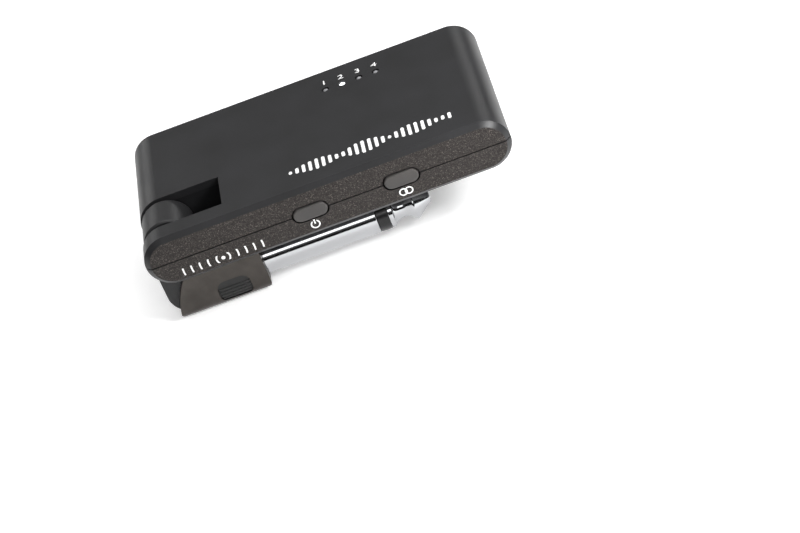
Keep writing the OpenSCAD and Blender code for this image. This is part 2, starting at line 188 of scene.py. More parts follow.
def done():
    bpy.ops.object.mode_set(mode="OBJECT")


def edge_along(axis, near):
    """A test for edges that run along an axis (0, 1 or 2) and whose middle passes near()."""
    def test(edge, mesh):
        a, b = (mesh.vertices[i].co for i in edge.vertices)
        run = b - a
        return abs(run[axis]) > 0.999 * run.length and near(((a + b) / 2 - CORNER) / MM)
    return test


def bevel_edges(piece, axis, near, width, segments):
    edit(piece, "EDGE", edge_along(axis, near))
    bpy.ops.mesh.bevel(offset=width * MM, segments=segments, affect="EDGES", profile=0.5)
    done()


def merge(piece, operation, tools):
    for tool in tools:
        use(piece)
        bpy.ops.object.modifier_add(type="BOOLEAN")
        modifier = piece.modifiers[-1]
        modifier.operation = operation
        modifier.solver = "EXACT"
        modifier.object = tool
        bpy.ops.object.modifier_apply(modifier=modifier.name)
        bpy.data.objects.remove(tool)
    return piece


def cut(piece, *tools):
    return merge(piece, "DIFFERENCE", tools)


def weld(piece, *tools):
    return merge(piece, "UNION", tools)


def keep_common(piece, *tools):
    return merge(piece, "INTERSECT", tools)


def join(name, pieces):
    """Several separate solids as one piece."""
    deselect()
    for piece in pieces:
        piece.select_set(True)
    bpy.context.view_layer.objects.active = pieces[0]
    bpy.ops.object.join()
    pieces[0].name = name
    pieces[0].data.name = name
    return pieces[0]


def soften(piece, width, segments=3, angle=32):
    """Breaks every sharp edge with a small radius, then shades the flats flat and the rounds round."""
    use(piece)
    bpy.ops.object.mode_set(mode="EDIT")
    bpy.ops.mesh.select_all(action="SELECT")
    bpy.ops.mesh.remove_doubles(threshold=0.000002)
    bpy.ops.mesh.dissolve_limited(angle_limit=math.radians(0.3))
    done()
    bpy.ops.object.modifier_add(type="BEVEL")
    bevel = piece.modifiers[-1]
    bevel.width = width * MM
    bevel.segments = segments
    bevel.limit_method = "ANGLE"
    bevel.angle_limit = math.radians(angle)
    bevel.miter_outer = "MITER_ARC"
    bevel.use_clamp_overlap = True
    bpy.ops.object.modifier_apply(modifier=bevel.name)
    return smooth(piece)


def smooth(piece):
    use(piece)
    bpy.ops.object.shade_smooth_by_angle(angle=math.radians(38))
    bpy.ops.object.modifier_add(type="WEIGHTED_NORMAL")
    weighted = piece.modifiers[-1]
    weighted.keep_sharp = True
    bpy.ops.object.modifier_apply(modifier=weighted.name)
    return piece


def lathe(name, points, centre, along, steps=128):
    """Spins an outline of (distance along, radius) points about an axis through centre."""
    run = Vector(along)
    side = Vector((1, 0, 0)) if run.z else Vector((0, 0, 1))
    spots = [at(*centre) + (run * d + side * r) * MM for d, r in points]
    deselect()
    bpy.ops.mesh.primitive_plane_add(size=MM, location=spots[0])
    piece = settle(name)
    bpy.ops.object.mode_set(mode="EDIT")
    bpy.ops.mesh.select_mode(type="VERT")
    bpy.ops.mesh.select_all(action="SELECT")
    bpy.ops.mesh.merge(type="CENTER")
    for here, there in zip(spots, spots[1:]):
        bpy.ops.mesh.extrude_region_move(TRANSFORM_OT_translate={"value": there - here})
    bpy.ops.mesh.select_all(action="SELECT")
    bpy.ops.mesh.spin(steps=steps, angle=2 * math.pi, center=at(*centre), axis=run)
    bpy.ops.mesh.select_all(action="SELECT")
    bpy.ops.mesh.remove_doubles(threshold=0.000001)
    bpy.ops.mesh.normals_make_consistent(inside=False)
    done()
    return piece


def arc(x, y, radius, start, end, steps=8):
    """Points of a round stretch about (x, y), with its angles in degrees."""
    turns = [math.radians(start + (end - start) * i / steps) for i in range(steps + 1)]
    return [(x + radius * math.cos(a), y + radius * math.sin(a)) for a in turns]


def dress(piece, body, slot, *materials, replaces=()):
    """Gives a finished piece its materials and its body, and hides the CAD nodes it stands for; the slot
    argument is not used.
    """
    piece.data.materials.clear()
    for material in materials:
        piece.data.materials.append(material)
    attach(piece, body)
    if replaces:
        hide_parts(*replaces)
    return piece


# ---------------------------------------------------------------- materials

def linear(code):
    """A linear colour from an sRGB hex code."""
    parts = [int(code[i:i + 2], 16) / 255 for i in (1, 3, 5)]
    return tuple(c / 12.92 if c <= 0.04045 else ((c + 0.055) / 1.055) ** 2.4 for c in parts) + (1.0,)


def add(tree, kind, settings=None, links=None):
    """Adds one node, sets its values and sockets by name or number, and links its inputs."""
    node = tree.nodes.new(kind)
    for key, value in (settings or {}).items():
        if isinstance(key, str) and hasattr(node, key):
            setattr(node, key, value)
        else:
            node.inputs[key].default_value = value
    for key, source in (links or {}).items():
        tree.links.new(source, node.inputs[key])
    return node


def start(name, **values):
    """A new material with its shader's own sockets set; returns it, its tree, its shader and place."""
    material = bpy.data.materials.new(name)
    material.use_nodes = True
    tree = material.node_tree
    shader = tree.nodes["Principled BSDF"]
    for key, value in values.items():
        shader.inputs[key.replace("_", " ")].default_value = value
    place = add(tree, "ShaderNodeTexCoord").outputs["Object"]
    return material, tree, shader, place


def per_mm(size):
    """Texture scale for a feature of that size in millimetres."""
    return 1 / (size * MM)


def ramp(tree, source, stops):
    node = add(tree, "ShaderNodeValToRGB", links={"Fac": source})
    band = node.color_ramp
    while len(band.elements) < len(stops):
        band.elements.new(0.5)
    for element, (position, colour) in zip(band.elements, stops):
        element.position = position
        element.color = colour
    return node.outputs["Color"]


def spread(tree, source, low, high):
    """Turns a 0 to 1 pattern into values between low and high."""
    limits = {"To Min": low, "To Max": high}
    return add(tree, "ShaderNodeMapRange", limits, {"Value": source}).outputs["Result"]


def raise_by(tree, shader, height, strength, depth_mm):
    bump = add(tree, "ShaderNodeBump", {"Strength": strength, "Distance": depth_mm * MM},
               {"Height": height})
    tree.links.new(bump.outputs["Normal"], shader.inputs["Normal"])


def moulded(name, base, worn, grain_mm, roughness, bump=0.25, specular=0.4):
    """Injection-moulded plastic from a spark-eroded mould: an even fine grain and a soft sheen."""
    material, tree, shader, place = start(name, IOR=1.5, Specular_IOR_Level=specular)
    patches = add(tree, "ShaderNodeTexNoise", {"Scale": per_mm(7), "Detail": 3.0}, {"Vector": place})
    tone = ramp(tree, patches.outputs["Fac"], [(0.3, linear(base)), (0.75, linear(worn))])
    tree.links.new(tone, shader.inputs["Base Color"])
    gloss = spread(tree, patches.outputs["Fac"], roughness - 0.05, roughness + 0.06)
    tree.links.new(gloss, shader.inputs["Roughness"])
    grain = add(tree, "ShaderNodeTexNoise", {"Scale": per_mm(grain_mm), "Detail": 2.0},
                {"Vector": place})
    raise_by(tree, shader, grain.outputs["Fac"], bump, 0.02)
    return material


def sparkle_side():
    """Side faces: a warm grey coat with fine metal flakes, each catching the light at its own angle."""
    material, tree, shader, place = start("flake_coated_side", IOR=1.5, Specular_IOR_Level=0.15)
    flakes = add(tree, "ShaderNodeTexVoronoi", {"Scale": per_mm(0.13)}, {"Vector": place})
    split = add(tree, "ShaderNodeSeparateColor", links={"Color": flakes.outputs["Color"]})
    tone = ramp(tree, split.outputs["Red"],
                [(0.0, linear("#242120")), (0.6, linear("#302d2b")),
                 (0.92, linear("#403c3a")), (1.0, linear("#5c5551"))])
    tree.links.new(tone, shader.inputs["Base Color"])
    tree.links.new(spread(tree, split.outputs["Green"], 0.38, 0.6), shader.inputs["Roughness"])
    raise_by(tree, shader, split.outputs["Blue"], 0.25, 0.02)
    return material


def gunmetal():
    """Boot: zinc casting, fine blasted, with a dark nickel plate that gives a broad satin highlight."""
    material, tree, shader, place = start("satin_gunmetal_plate", Metallic=1.0)
    blast = add(tree, "ShaderNodeTexNoise", {"Scale": per_mm(0.12), "Detail": 2.0}, {"Vector": place})
    cloud = add(tree, "ShaderNodeTexNoise", {"Scale": per_mm(2.5), "Detail": 4.0}, {"Vector": place})
    tone = ramp(tree, cloud.outputs["Fac"], [(0.25, linear("#464340")), (0.8, linear("#514d4a"))])
    tree.links.new(tone, shader.inputs["Base Color"])
    tree.links.new(spread(tree, blast.outputs["Fac"], 0.26, 0.42), shader.inputs["Roughness"])
    raise_by(tree, shader, blast.outputs["Fac"], 0.25, 0.012)
    return material


def nickel(name="polished_nickel_plate", tint="#b6b7b9", roughness=0.07):
    """Plug: turned brass, nickel plated and polished; fine turning rings still run round it."""
    material, tree, shader, place = start(name, Metallic=1.0)
    shader.inputs["Base Color"].default_value = linear(tint)
    split = add(tree, "ShaderNodeSeparateXYZ", links={"Vector": place})
    rings = add(tree, "ShaderNodeTexNoise",
                {"noise_dimensions": "1D", "Scale": per_mm(0.18), "Detail": 2.0},
                {"W": split.outputs["X"]})
    marks = add(tree, "ShaderNodeTexNoise", {"Scale": per_mm(1.6), "Detail": 5.0}, {"Vector": place})
    gloss = spread(tree, marks.outputs["Fac"], roughness - 0.03, roughness + 0.09)
    tree.links.new(gloss, shader.inputs["Roughness"])
    raise_by(tree, shader, rings.outputs["Fac"], 0.12, 0.004)
    return material


def metal(name, base, worn, roughness, grain_mm=0.3):
    """Plain steel or brass parts: rolled or turned stock with faint uneven tarnish."""
    material, tree, shader, place = start(name, Metallic=1.0)
    patches = add(tree, "ShaderNodeTexNoise", {"Scale": per_mm(1.2), "Detail": 5.0}, {"Vector": place})
    tone = ramp(tree, patches.outputs["Fac"], [(0.3, linear(base)), (0.8, linear(worn))])
    tree.links.new(tone, shader.inputs["Base Color"])
    gloss = spread(tree, patches.outputs["Fac"], roughness - 0.06, roughness + 0.1)
    tree.links.new(gloss, shader.inputs["Roughness"])
    grain = add(tree, "ShaderNodeTexNoise", {"Scale": per_mm(grain_mm), "Detail": 3.0},
                {"Vector": place})
    raise_by(tree, shader, grain.outputs["Fac"], 0.15, 0.008)
    return material


def board_green():
    """Circuit board: glass-epoxy under green solder mask, with tracks showing as a paler network."""
    material, tree, shader, place = start("solder_mask_green", IOR=1.5, Roughness=0.3)
    tints = {"Color1": linear("#0f4a2c"), "Color2": linear("#12542f"), "Mortar": linear("#2c7a4a")}
    tracks = add(tree, "ShaderNodeTexBrick", {"Scale": per_mm(4.0), "Mortar Size": 0.06, **tints},
                 {"Vector": place})
    tree.links.new(tracks.outputs["Color"], shader.inputs["Base Color"])
    raise_by(tree, shader, tracks.outputs["Fac"], 0.3, 0.03)
    return material


def print_white():
    """Pad-printed white ink: flat, with a slightly uneven edge of pigment."""
    material, tree, shader, place = start("pad_print_white", IOR=1.5, Roughness=0.55)
    pigment = add(tree, "ShaderNodeTexNoise", {"Scale": per_mm(0.25), "Detail": 3.0}, {"Vector": place})
    tone = ramp(tree, pigment.outputs["Fac"], [(0.2, linear("#dedede")), (0.7, linear("#fafafa"))])
    tree.links.new(tone, shader.inputs["Base Color"])
    raise_by(tree, shader, pigment.outputs["Fac"], 0.1, 0.005)
    return material


def light_guide(name, tint, pale, glow):
    """Status lights: clear acrylic guides, frosted at the top so that they glow evenly."""
    material, tree, shader, place = start(name, IOR=1.49, Roughness=0.3, Emission_Strength=glow)
    frost = add(tree, "ShaderNodeTexNoise", {"Scale": per_mm(0.2), "Detail": 2.0}, {"Vector": place})
    tone = ramp(tree, frost.outputs["Fac"], [(0.2, linear(tint)), (0.9, linear(pale))])
    tree.links.new(tone, shader.inputs["Base Color"])
    tree.links.new(tone, shader.inputs["Emission Color"])
    raise_by(tree, shader, frost.outputs["Fac"], 0.15, 0.01)
    return material


SHELL = moulded("moulded_abs_black", "#1d1d1e", "#212123", 0.16, 0.4, specular=0.35)
SIDE = sparkle_side()
ARM = moulded("moulded_nylon_black", "#1b1b1c", "#212122", 0.14, 0.42)
CRADLE = moulded("moulded_acetal_black", "#131314", "#18181a", 0.2, 0.5, specular=0.3)
BUTTON = moulded("moulded_button_grey", "#3a3837", "#44413f", 0.12, 0.48, bump=0.35)
GRIP = moulded("grip_elastomer_grey", "#2d2d2d", "#373736", 0.1, 0.62, bump=0.3, specular=0.3)
RING = moulded("turned_acetal_black", "#0f0f10", "#151516", 0.3, 0.25, bump=0.05, specular=0.4)
CORE = moulded("natural_nylon", "#d5d1c6", "#e2ded3", 0.3, 0.45)
CREAM = moulded("connector_nylon_cream", "#dcd6c4", "#e9e3d2", 0.2, 0.5)
EPOXY = moulded("chip_epoxy_black", "#17171a", "#1f1f22", 0.1, 0.55)
CERAMIC = moulded("capacitor_ceramic_tan", "#8d6b45", "#a98660", 0.1, 0.4)
WHITE_CERAMIC = moulded("antenna_ceramic_white", "#ddd9cf", "#efece4", 0.15, 0.35)
FOAM = moulded("closed_cell_foam", "#4b4b4f", "#606064", 0.35, 0.85, bump=0.8)
WIRE = moulded("silicone_wire_red", "#8a1f1a", "#a3281f", 0.2, 0.5)
RESIN = moulded("light_chip_resin", "#e4d98f", "#f1e9b4", 0.15, 0.3)
GUNMETAL = gunmetal()
NICKEL = nickel()
STEEL = metal("rolled_steel_bright", "#a8a9ab", "#c6c7c9", 0.28)
DARK_STEEL = metal("black_oxide_steel", "#2b2b2d", "#3a3a3d", 0.38)
BRASS = metal("turned_brass", "#a88b4c", "#c4a862", 0.25)
GOLD = metal("gold_flash_contact", "#c9a24a", "#dcba66", 0.2)
FOIL = metal("battery_foil_pouch", "#a9abae", "#c9cbcd", 0.4, grain_mm=0.9)
BOARD = board_green()
INK = print_white()
CLEAR = light_guide("frosted_acrylic_unlit", "#77777a", "#8c8c8f", 0.0)
LIT = light_guide("frosted_acrylic_lit", "#f4f7ff", "#ffffff", 4.0)


# ---------------------------------------------------------------- housing

def slab(name, inset=0.0, chamfer=BEVEL):
    """The housing's outer form drawn in by inset: round ends, flat-bevelled front and rear."""
    r = END_R - inset
    y0, y1 = inset + chamfer, WIDTH - inset - chamfer
    deselect()
    half_step = math.pi / ROUND_STEPS
    bpy.ops.mesh.primitive_cylinder_add(
        vertices=ROUND_STEPS, radius=r * MM / math.cos(half_step), depth=(y1 - y0) * MM,
        location=at(END_R, (y0 + y1) / 2, SEAM_Z), rotation=Euler((math.pi / 2, 0, 0)))
    piece = settle(name)
    edit(piece, "VERT", lambda v, m: True)
    bpy.ops.transform.rotate(value=half_step, orient_axis="Y", center_override=at(END_R, 0, SEAM_Z))
    done()
    edit(piece, "VERT", lambda v, m: v.co.x > at(END_R, 0, 0).x)
    bpy.ops.transform.translate(value=((LENGTH - 2 * END_R) * MM, 0, 0))
    done()
    edit(piece, "FACE", lambda f, m: abs(f.normal.y) > 0.9)
    bpy.ops.mesh.inset(thickness=chamfer * MM, depth=chamfer * MM, use_individual=True)
    done()
    return piece


def pill(name, x, length, height, y0, y1, steps=40):
    """A bar along Y with round ends, centred on the seam at x."""
    r = height / 2
    x0 = x - (length / 2 - r)
    piece = rod(name, (x0, y0, SEAM_Z), (x0, y1, SEAM_Z), r, steps)
    half_step = math.pi / steps
    edit(piece, "VERT", lambda v, m: True)
    bpy.ops.transform.rotate(value=half_step, orient_axis="Y", center_override=at(x0, 0, SEAM_Z))
    done()
    edit(piece, "VERT", lambda v, m: v.co.x > at(x0, 0, 0).x)
    bpy.ops.transform.translate(value=((length - height) * MM, 0, 0))
    done()
    return piece


def slice_off(piece, co, no):
    """Cuts the piece along a plane, drops what lies on the plane's outer side and closes the cut."""
    edit(piece, "FACE", lambda f, m: True)
    bpy.ops.mesh.bisect(plane_co=co, plane_no=Vector(no).normalized(), use_fill=True, clear_outer=True,
                        threshold=0.0000001)
    done()


def seam_ring(low, high, thick):
    """The tongue of the bottom shell, or the groove for it in the top shell."""
    ring = slab("ring", WALL - thick, 0.5)
    slice_off(ring, at(0, 0, low), (0, 0, -1))
    slice_off(ring, at(0, 0, high), (0, 0, 1))
    return cut(ring, slab("ring_core", WALL, 0.4))


def shell(name, up):
    """One hollow half of the housing, parted at the seam: up is 1 for the top shell, -1 for the bottom."""
    gap = 0.1
    piece = slab(name)
    slice_off(piece, at(0, 0, SEAM_Z + up * gap), (0, 0, -up))
    for y, out in ((0, -1), (WIDTH, 1)):
        slice_off(piece, at(0, y, SEAM_Z), (0, out * SEAM_Z, up * DRAFT))
    cut(piece, slab("hollow", WALL, 0.4))
    return piece


def shared_openings():
    """The holes that the seam runs through: both buttons and the charging port."""
    tools = [pill("button_hole", x, BUTTON_L + 0.6, BUTTON_H + 0.6, -1, WALL + 1)
             for x in (POWER_X, PAIR_X)]
    tools.append(pill("usb_hole", USB_X, USB_L + 0.5, USB_H + 0.5, WIDTH - WALL - 1, WIDTH + 1))
    return tools


def light_spots():
    """Centres of the four status lights, as x and y; the guides' flanges set the CAD node's box."""
    low, high = cad("light_pipes")
    flange_r = (high.y - low.y) / 2
    first, last = low.x + flange_r, high.x - flange_r
    return [(first + (last - first) * i / 3, low.y + flange_r) for i in range(4)]


def side_faces(piece):
    """Gives the flat front and rear faces the second material slot."""
    for face in piece.data.polygons:
        middle_y = (face.center.y - CORNER.y) / MM
        if abs(face.normal.y) > 0.98 and (middle_y < DRAFT + 0.02 or middle_y > WIDTH - DRAFT - 0.02):
            face.material_index = 1


def build_top_shell():
    piece = shell("top_shell_moulding", 1)
    cut(piece, seam_ring(SEAM_Z - 1, SEAM_Z + 0.7, 0.7))
    cut(piece, *shared_openings())
    cut(piece, block("slot", (-1, SLOT_Y0, SEAM_Z - 1), (SLOT_TOP_END, SLOT_Y1, THICK + 1)))
    cut(piece, *[rod("light_hole", (x, y, THICK - 3), (x, y, THICK + 1), LIGHT_R + 0.18, 40)
                 for x, y in light_spots()])
    soften(piece, 0.13)
    dress(piece, "housing", "shell_plastic", SHELL, SIDE, replaces=["top_shell"])
    side_faces(piece)


def screw_spots():
    """Centres of the housing screws, as x and y, at the corners of their CAD node's box."""
    low, high = cad("housing_screws")
    r = SCREW_HEAD_R
    return [(21.0, low.y + r), (high.x - r, low.y + r),
            (high.x - r, high.y - r), (low.x + r, high.y - r)]


def build_bottom_shell():
    piece = shell("bottom_shell_moulding", -1)
    weld(piece, seam_ring(SEAM_Z - 0.6, SEAM_Z + 0.6, 0.64))
    cut(piece, *shared_openings())
    cut(piece, block("slot", (-1, SLOT_Y0, -1), (SLOT_LOW_END, SLOT_Y1, SEAM_Z + 2)))
    cut(piece, block("bay", (-1, SLOT_Y0 - 0.1, WALL), (SLOT_TOP_END, SLOT_Y1 + 0.1, SEAM_Z + 2)))
    for x, y in screw_spots():
        cut(piece, rod("counterbore", (x, y, -1), (x, y, 1), 1.55, 48))
    soften(piece, 0.13)
    dress(piece, "housing", "shell_plastic", SHELL, SIDE, replaces=["bottom_shell"])
    side_faces(piece)


def build_screws():
    """Four pan-head screws with cross recesses, sunk in the underside."""
    heads = []
    for x, y in screw_spots():
        head = rod("screw_head", (x, y, 0.2), (x, y, 0.98), SCREW_HEAD_R, 48)
        bevel_ring(head, 0.2, 0.25)
        stem = rod("screw_stem", (x, y, 0.9), (x, y, 6.8), 0.75, 24)
        weld(head, stem)
        for wide, deep in ((0.8, 0.15), (0.15, 0.8)):
            cut(head, block("recess", (x - wide, y - deep, -1), (x + wide, y + deep, 0.62)))
        heads.append(soften(head, 0.04, 2))
    piece = join("housing_screw_set", heads)
    dress(piece, "housing", "black_steel", DARK_STEEL, replaces=["housing_screws"])


def bevel_ring(piece, z, width):
    """Rounds the circular edge that lies at height z."""
    height = at(0, 0, z).z
    edit(piece, "EDGE", lambda e, m: all(abs(m.vertices[i].co.z - height) < 1e-6 for i in e.vertices))
    bpy.ops.mesh.bevel(offset=width * MM, segments=4, affect="EDGES")
    done()


def build_lights():
    """Four light guides with domed tops, each on a flange under the lid; the second is lit."""
    low, high = cad("light_pipes")
    rise = high.z - low.z
    flange = THICK - WALL - 0.8 - low.z
    pad = flange + 0.7
    dome_r = 0.6
    outline = [(0, 0), (0, LIGHT_R), (flange, LIGHT_R), (flange, 1.0), (pad, 1.0), (pad, LIGHT_R)]
    outline += arc(rise - dome_r, 0, dome_r, 60, 0, 8)
    for number, (x, y) in enumerate(light_spots()):
        guide = smooth(lathe(f"light_guide_{number + 1}", outline, (x, y, low.z), (0, 0, 1), 48))
        dress(guide, "housing", "light_guide", LIT if number == 1 else CLEAR)
        if number == 0:
            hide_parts("light_pipes")


def build_button(name, x, body, node):
    """A pill-shaped cap with a crowned face, and the flange that keeps it in the housing."""
    cap = pill(name, x, BUTTON_L, BUTTON_H, -0.2, WALL + 0.6)
    edit(cap, "FACE", lambda f, m: f.normal.y < -0.9)
    bpy.ops.mesh.bevel(offset=0.25 * MM, segments=5, affect="EDGES")
    done()
    weld(cap, pill("flange", x, BUTTON_L + 1.4, BUTTON_H + 1.2, WALL + 0.12, WALL + 0.6))
    smooth(cap)
    dress(cap, body, "button_plastic", BUTTON, replaces=[node])


def build_usb():
    """Charging receptacle: a drawn steel shell, a thin tongue and its gold contacts."""
    y1 = WIDTH - 0.9
    shell_part = pill("usb_shell", USB_X, USB_L, USB_H, y1 - 7.9, y1)
    cut(shell_part, pill("usb_inside", USB_X, 8.34, 2.6, y1 - 6.9, y1 + 1))
    soften(shell_part, 0.06, 2)
    tongue = block("usb_tongue", (USB_X - 3.2, y1 - 7.2, SEAM_Z - 0.35),
                   (USB_X + 3.2, y1 - 1.3, SEAM_Z + 0.35))
    soften(tongue, 0.1, 3)
    pads = []
    for i in range(12):
        x = USB_X - 2.75 + i * 0.5
        for side in (-1, 1):
            z = SEAM_Z + side * 0.36
            pads.append(block("pad", (x - 0.15, y1 - 5.5, z - 0.03), (x + 0.15, y1 - 1.7, z + 0.03)))
    contacts = join("usb_contacts", pads)
    dress(shell_part, "housing", "steel", STEEL, replaces=["usb_port"])
    dress(tongue, "housing", "cradle_plastic", CRADLE)
    dress(contacts, "housing", "brass", GOLD)


# ---------------------------------------------------------------- arm and plug

def build_arm():
    """Black arm: the drum with its softly rounded rims, and the leg with its round foot."""
    y0, y1 = DRUM_Y0, cad("hinge_arm")[1].y
    drum_w = y1 - y0
    r = DRUM_R
    outline = [(0, 0)] + arc(0.4, r - 0.4, 0.4, 180, 90, 8)
    outline += arc(drum_w - 0.3, r - 0.3, 0.3, 90, 0, 6) + [(drum_w, 0)]
    arm = lathe("arm_moulding", outline, (HINGE.x, y0, HINGE.z), (0, 1, 0))
    leg = block("leg", (LEG_X0, y0, BOOT_LOW.z + BOOT_WALL + FIT), (LEG_X1, 2 * PLUG_Y - y0, HINGE.z))
    bevel_edges(leg, 1, lambda p: p.x < LEG_X0 + 0.1 and p.z < 0, FOOT_R, 24)
    cut(leg, block("trim", (-1, 0, HINGE.z - 0.2), (LEG_X1 + 1, y0 + 0.2, 20)))
    weld(arm, leg)
    cut(arm, rod("pin_bore", (HINGE.x, 0, HINGE.z), (HINGE.x, WIDTH, HINGE.z), PIN_R + 0.05, 64))
    cut(arm, rod("root_bore", (LEG_X1 + 0.6, PLUG_Y, PLUG_Z), (30, PLUG_Y, PLUG_Z), 2.72, 64))
    soften(arm, 0.16)
    dress(arm, "plug_arm", "arm_plastic", ARM, replaces=["hinge_arm"])


def boot_solid(name, inset=0.0):
    """Length of the boot's section, drawn in by inset: round lower edges, lightly rounded upper ones."""
    low = BOOT_LOW + Vector((-3, inset, inset))
    high = BOOT_HIGH - Vector((inset, inset, inset))
    piece = block(name, low, high)
    centre_z = (low.z + high.z) / 2
    bevel_edges(piece, 0, lambda p: p.z < centre_z, BOOT_ROUND - inset * 0.5, 14)
    bevel_edges(piece, 0, lambda p: p.z > centre_z, 0.7, 8)
    return piece


def round_corner(piece, x, z, radius, out):
    """Rounds a lower corner of the boot, seen from the front; out is -1 for the left, 1 for the right."""
    x0, x1 = sorted((x, x + out * (radius + 2)))
    waste = block("waste", (x0, 0, z - radius - 2), (x1, WIDTH, z))
    cut(waste, rod("corner", (x, -1, z), (x, WIDTH + 1, z), radius, 96))
    return cut(piece, waste)


def build_boot():
    """Gunmetal boot: a casting with a raked left end, round lower edges and a pocket for each grip."""
    rake_r = 16.8
    piece = boot_solid("boot_casting")
    axis_x = PLUG_ROOT - 0.4
    axis_z = BOOT_LOW.z - 1.7
    keep_common(piece, rod("rake", (axis_x, 0, axis_z), (axis_x, WIDTH, axis_z), rake_r, 360))
    round_corner(piece, BOOT_LOW.x + 1.7, BOOT_LOW.z + 1.6, 1.6, -1)
    round_corner(piece, PLUG_ROOT - 1.8, BOOT_LOW.z + 1.8, 1.8, 1)
    cut(piece, boot_solid("inside", BOOT_WALL))
    cut(piece, block("leg_way", (-2, PLUG_Y - 3.22, BOOT_LOW.z + BOOT_WALL + FIT),
                     (LEG_X1 + FIT, PLUG_Y + 3.22, 1)))
    cut(piece, rod("plug_hole", (12, PLUG_Y, PLUG_Z), (25, PLUG_Y, PLUG_Z), NECK_R + FIT, 96))
    for rear in (False, True):
        pocket = grip_outline("pocket", rear, FIT)
        cut(piece, cut(pocket, boot_solid("floor_of_pocket", GRIP_DEPTH + FIT)))
    screw = (BOOT_SCREW_X, PLUG_Y)
    cut(piece, rod("screw_sink", (*screw, BOOT_LOW.z - 1), (*screw, BOOT_LOW.z + 0.5), 1.25, 48))
    cut(piece, rod("screw_way", (*screw, BOOT_LOW.z - 1), (*screw, BOOT_LOW.z + 2), 0.7, 32))
    soften(piece, 0.2, 4)
    dress(piece, "plug_arm", "boot_metal", GUNMETAL, replaces=["plug_boot"])


def grip_outline(name, rear, gap=0.0):
    """A bar along Y with a grip's outline, through the front or the rear side of the boot."""
    y0, y1 = (PLUG_Y + 1, BOOT_HIGH.y + 1) if rear else (BOOT_LOW.y - 1, PLUG_Y - 1)
    piece = block(name, (GRIP_LOW.x - gap, y0, GRIP_LOW.z - gap),
                  (GRIP_HIGH.x + gap, y1, GRIP_HIGH.z + gap))
    centre_z = (GRIP_LOW.z + GRIP_HIGH.z) / 2
    bevel_edges(piece, 1, lambda p: p.z > centre_z, GRIP_UPPER_R + gap, 12)
    bevel_edges(piece, 1, lambda p: p.z < centre_z, GRIP_LOWER_R + gap, 10)
    return piece


def build_grip(name, node, rear):
    """A sunken thumb grip on the boot's side, with four half-round ribs across its lower part."""
    plate = keep_common(grip_outline(name, rear), boot_solid("skin", GRIP_SUNK))
    cut(plate, boot_solid("behind", GRIP_DEPTH))
    soften(plate, 0.05, 2)
    bend_r = BOOT_ROUND - GRIP_SUNK / 2
    bend_z = BOOT_LOW.z + GRIP_SUNK + bend_r
    ribs = []
    for i in range(4):
        z = GRIP_HIGH.z - 1.65 - 0.65 * i
        drop = max(bend_z - z, 0)
        sunk = GRIP_SUNK + bend_r - math.sqrt(bend_r ** 2 - drop ** 2)
        trim = max(GRIP_LOW.z + GRIP_LOWER_R - z, 0)
        cut_in = 0.1 + GRIP_LOWER_R - math.sqrt(GRIP_LOWER_R ** 2 - trim ** 2)
        y = BOOT_HIGH.y - sunk if rear else BOOT_LOW.y + sunk
        rib = rod("rib", (GRIP_LOW.x + cut_in, y, z), (GRIP_HIGH.x - cut_in, y, z), 0.2, 24)
        edit(rib, "FACE", lambda f, m: abs(f.normal.x) > 0.9)
        bpy.ops.mesh.bevel(offset=0.12 * MM, segments=3, affect="EDGES")
        done()
        ribs.append(smooth(rib))
    dress(join(name, [plate] + ribs), "plug_arm", "grip_rubber", GRIP, replaces=[node])


def build_boot_screw():
    x, z = BOOT_SCREW_X, BOOT_LOW.z
    head = rod("boot_screw_turned", (x, PLUG_Y, z + 0.03), (x, PLUG_Y, z + 0.48), 1.2, 48)
    weld(head, rod("stem", (x, PLUG_Y, z + 0.4), (x, PLUG_Y, z + 2.1), 0.6, 24))
    for wide, deep in ((0.7, 0.13), (0.13, 0.7)):
        cut(head, block("recess", (x - wide, PLUG_Y - deep, z - 1), (x + wide, PLUG_Y + deep, z + 0.3)))
    soften(head, 0.04, 2)
    dress(head, "plug_arm", "black_steel", DARK_STEEL, replaces=["boot_screw"])


